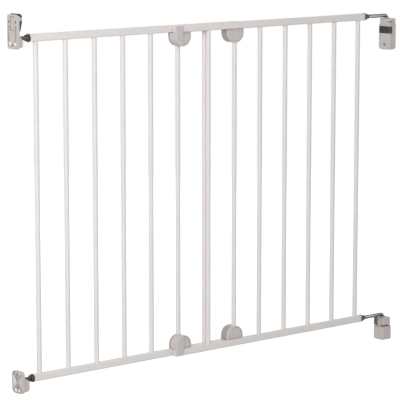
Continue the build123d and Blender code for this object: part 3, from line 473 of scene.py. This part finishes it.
def clip_screw(centre_x, centre_z, head_y, seat_y, end_y, head_radius):
    """Screw from the end of its shank to the floor of its recess."""
    inward = math.copysign(1.0, seat_y - head_y)
    angles = [2 * math.pi * i / SCREW_POINTS for i in range(SCREW_POINTS)]

    def ring(y, reach):
        return [Vector((centre_x + reach(a) * math.cos(a), y, centre_z + reach(a) * math.sin(a)))
                for a in angles]

    rings = [ring(end_y, lambda a: SCREW_SHANK), ring(seat_y, lambda a: SCREW_SHANK)]
    for share, rise in HEAD_PROFILE:
        rings.append(ring(seat_y + rise * (head_y - seat_y), lambda a: share * head_radius))
    rings.append(ring(head_y, cross_reach))
    rings.append(ring(head_y + inward * RECESS_DEPTH, lambda a: RECESS_FLOOR * cross_reach(a)))
    return skin(rings)


for side in ("latch", "hinge"):
    low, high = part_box(f"{side}_clip_screws")
    head_radius = (high.x - low.x) / 2
    screws = [clip_screw((low.x + high.x) / 2, z, high.y, high.y - HEAD_HEIGHT, low.y, head_radius)
              for z in (low.z + head_radius, high.z - head_radius)]
    heads = add_piece(f"{side}_cross_screws", screws, f"{side}_frame", "zinc_steel")
    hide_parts(f"{side}_clip_screws")

# %% [markdown]
# A torsion spring of round spring wire returns the thumb lever. Its CAD solid is a plain sleeve; here
# it is wound as a real coil, a row of rings along a helix round the pivot pin.

# %% Lever spring
SPRING_WIRE = 0.42 * MM
SPRING_TURNS = 5
ROWS_PER_TURN = 24
WIRE_POINTS = 10
low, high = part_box("lever_spring")
middle = (low + high) / 2
coil_radius = (high.x - low.x) / 2 - SPRING_WIRE
coil_rows = ROWS_PER_TURN * SPRING_TURNS
coil = []
for row in range(coil_rows + 1):
    turn = 2 * math.pi * SPRING_TURNS * row / coil_rows
    outward = Vector((math.cos(turn), 0, math.sin(turn)))
    place = middle + coil_radius * outward
    place.y = low.y + SPRING_WIRE + (high.y - low.y - 2 * SPRING_WIRE) * row / coil_rows
    coil.append([place + SPRING_WIRE * (math.cos(a) * outward + math.sin(a) * Vector((0, 1, 0)))
                 for a in (2 * math.pi * i / WIRE_POINTS for i in range(WIRE_POINTS))])
spring = add_piece("lever_torsion_spring", [skin(coil)], "wall_brackets", "zinc_steel")
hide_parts("lever_spring")

# %% [markdown]
# On their wall side, the two latch brackets have pale grips in their pockets, so that they don't slip
# while they are screwed on. They are moulded from soft rubber and stand on the pockets' floors.
# Each is an outline in millimetres, in Y and Z from the stud's axis, drawn as rings: first a small
# chamfer, then the full size. The two lowest grips of a bracket are thicker and whiter.

# %% Wall grips
GRIP_CHAMFER = 0.35 * MM
FOOT_SUNK = 0.1 * MM
GRIP_SUNK = 0.8 * MM
UPPER_POCKET = 2.5 * MM
LOWER_POCKET = 1.5 * MM
UPPER_FOOT = ((4.5, -6.3), (12.6, -6.3), (12.6, -13.6), (4.5, -13.6))
LOWER_FOOT = ((1.6, -17.4), (4.4, -16.4), (6.9, -14.9), (11.0, -20.6), (9.6, -22.9), (1.6, -23.4))
LOWER_SIDE = ((2.1, -3.0), (12.2, 12.4), (13.9, 13.4), (14.9, 11.0), (14.9, -17.0), (13.9, -19.4),
              (12.3, -18.6))
LOWER_CROWN = ((1.3, 17.2), (10.4, 17.2), (10.8, 14.9), (6.0, 8.0), (4.3, 8.4), (4.6, 10.2), (4.6, 12.2),
               (3.3, 14.7), (1.3, 15.9))
# The third colour of each grip plastic is the painted shade in its corners.
white_rubber = moulded_plastic("white_rubber_grip", "#F0ECE8", "#F6F3F0", "#D8D3CE", GRAIN, 0.6, 1.52)
grey_rubber = moulded_plastic("pale_grey_rubber_grip", "#DDD8D4", "#E6E1DD", "#A8A29D", GRAIN, 0.6, 1.52)


def wall_grip(outline, side, stud, wall_x, sunk, depth):
    """Grip in one pocket; side is -1 or 1 for the pocket in front of or behind the stud."""
    points = [Vector((wall_x, stud.y + side * y * MM, stud.z + z * MM)) for y, z in outline]
    middle = sum(points, Vector()) / len(points)
    rings = []
    for deep, inset in ((sunk, GRIP_CHAMFER), (sunk + GRIP_CHAMFER, 0.0), (depth, 0.0)):
        rings.append([p - inset * (p - middle).normalized() + Vector((deep, 0, 0)) for p in points])
    return skin(rings)


def wall_grips(name, place, bracket, outlines, sunk, depth, finish):
    """The grips of one kind on one bracket, in front of and behind its stud."""
    stud = sum(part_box(f"{place}_stud"), Vector()) / 2
    wall_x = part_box(bracket)[0].x
    grips = []
    for outline in outlines:
        for side in (-1, 1):
            grips.append(wall_grip(outline, side, stud, wall_x, sunk, depth))
    add_piece(name, grips, "wall_brackets", "light_plug_plastic", finish)


wall_grips("upper_latch_feet", "upper", "upper_latch_base", [UPPER_FOOT],
           FOOT_SUNK, UPPER_POCKET, white_rubber)
wall_grips("lower_latch_feet", "lower", "lower_latch_bracket", [LOWER_FOOT],
           FOOT_SUNK, LOWER_POCKET, white_rubber)
wall_grips("lower_latch_grips", "lower", "lower_latch_bracket", [LOWER_SIDE, LOWER_CROWN],
           GRIP_SUNK, LOWER_POCKET, grey_rubber)

# %% [markdown]
# The floor is a plain pale studio floor that only keeps the shadow, and the background is white.
# For the camera and for reflections the world shines at a strength of 1, which is white. For all
# other rays it is the soft fill light of the studio, so the object isn't overlit by its background.
# The fill comes from big diffusers round the gate, so it is strong from the sides and weak from above,
# and a dark screen to the right of the gate takes some of it away there, which makes the bars look round.

# %% Floor and world
FLOOR_GAP = 40.0 * MM
FLOOR_SIZE = 30.0
FLOOR_MIDDLE = (-0.5, 0.0, CAD_BOX[0].z - FLOOR_GAP)
FLOOR_GLOW = 0.69
FILL_SIDE = 0.90
FILL_ABOVE = 0.26
SCREEN_SHARE = 0.55


def seen_directly(tree):
    """1 where a ray comes from the camera, a reflection or glass, and 0 elsewhere."""
    path = add_node(tree, "ShaderNodeLightPath", {}, {})
    shiny = add_node(tree, "ShaderNodeMath", {"operation": "MAXIMUM"},
                     {0: path.outputs["Is Glossy Ray"], 1: path.outputs["Is Transmission Ray"]})
    either = add_node(tree, "ShaderNodeMath", {"operation": "MAXIMUM"},
                      {0: path.outputs["Is Camera Ray"], 1: shiny.outputs[0]})
    return either.outputs[0]


world = bpy.data.worlds.new("studio")
world.use_nodes = True
bpy.context.scene.world = world
studio = world.node_tree
direction = add_node(studio, "ShaderNodeTexCoord", {}, {}).outputs["Generated"]
toward = add_node(studio, "ShaderNodeSeparateXYZ", {}, {"Vector": direction})
diffusers = add_node(studio, "ShaderNodeMapRange", {"To Min": FILL_SIDE, "To Max": FILL_ABOVE},
                     {"Value": toward.outputs["Z"]})
screen = add_node(studio, "ShaderNodeMapRange", {"To Min": 1.0, "To Max": SCREEN_SHARE},
                  {"Value": toward.outputs["X"]})
fill = add_node(studio, "ShaderNodeMath", {"operation": "MULTIPLY"},
                {0: diffusers.outputs["Result"], 1: screen.outputs["Result"]})
level = add_node(studio, "ShaderNodeMapRange", {"To Max": 1.0},
                 {"Value": seen_directly(studio), "To Min": fill.outputs[0]})
studio.nodes["Background"].inputs["Color"].default_value = linear("#FFFFFF")
studio.links.new(level.outputs["Result"], studio.nodes["Background"].inputs["Strength"])

bpy.ops.mesh.primitive_plane_add(size=FLOOR_SIZE, location=FLOOR_MIDDLE)
floor = bpy.context.object
floor.name = "studio_floor"
paper, paper_tree, paper_shader, _ = new_material("white_paper_floor")
paper_shader.inputs["Base Color"].default_value = linear("#CFCFCF")
paper_shader.inputs["Roughness"].default_value = 0.9
glow = add_node(paper_tree, "ShaderNodeMapRange", {"To Min": 0.0, "To Max": FLOOR_GLOW},
                {"Value": seen_directly(paper_tree)})
paper_shader.inputs["Emission Color"].default_value = linear("#FFFFFF")
paper_tree.links.new(glow.outputs["Result"], paper_shader.inputs["Emission Strength"])
floor.data.materials.append(paper)
print("floor:", floor.name, "world:", world.name)

# %% [markdown]
# A large soft box lights the gate from the camera's upper left. It stands near enough to fade towards
# the right and leaves the right side of each round bar darker. Its size keeps the shadows soft.
# A weaker one behind the gate keeps its back from going grey when it is seen from there.

# %% Lights
GATE_MIDDLE = (CAD_BOX[0] + CAD_BOX[1]) / 2


def direction_to(azimuth, elevation):
    """Unit vector from the gate to an azimuth and an elevation in degrees; azimuth 0 is in front."""
    a, e = math.radians(azimuth), math.radians(elevation)
    return Vector((math.sin(a) * math.cos(e), -math.cos(a) * math.cos(e), math.sin(e)))


def soft_box(name, azimuth, elevation, distance, size, power):
    """Square area light aimed at the middle of the gate."""
    lamp = bpy.data.lights.new(name, "AREA")
    lamp.size = size
    lamp.energy = power
    box = bpy.data.objects.new(name, lamp)
    bpy.context.collection.objects.link(box)
    away = direction_to(azimuth, elevation)
    box.location = GATE_MIDDLE + distance * away
    box.rotation_euler = (-away).to_track_quat("-Z", "Y").to_euler()


soft_box("key_light", azimuth=-50.0, elevation=24.0, distance=2.7, size=1.4, power=36.0)
soft_box("back_light", azimuth=145.0, elevation=20.0, distance=3.0, size=1.4, power=13.0)
print("lights:", [lamp.name for lamp in bpy.data.lights])

# %% [markdown]
# The camera stands about four and a half metres away, a little above the gate and to its left, with a
# long lens, so the bars stay nearly parallel and the rails run gently together to the right.

# %% Camera
CAMERA_AZIMUTH = -39.56
CAMERA_ELEVATION = 9.15
CAMERA_DISTANCE = 4.5235
CAMERA_LENS = 191.4
CAMERA_AIM = Vector((-0.5341, 0.0259, 0.3473))

lens = bpy.data.cameras.new("camera")
lens.lens = CAMERA_LENS
lens.sensor_width = 36.0
lens.clip_end = 100.0
camera = bpy.data.objects.new("camera", lens)
bpy.context.collection.objects.link(camera)
toward_camera = direction_to(CAMERA_AZIMUTH, CAMERA_ELEVATION)
camera.location = CAMERA_AIM + CAMERA_DISTANCE * toward_camera
camera.rotation_euler = (-toward_camera).to_track_quat("-Z", "Y").to_euler()
bpy.context.scene.camera = camera
bpy.context.scene.view_settings.view_transform = "Standard"
print("camera:", CAMERA_LENS, "mm lens,", CAMERA_DISTANCE, "m away")
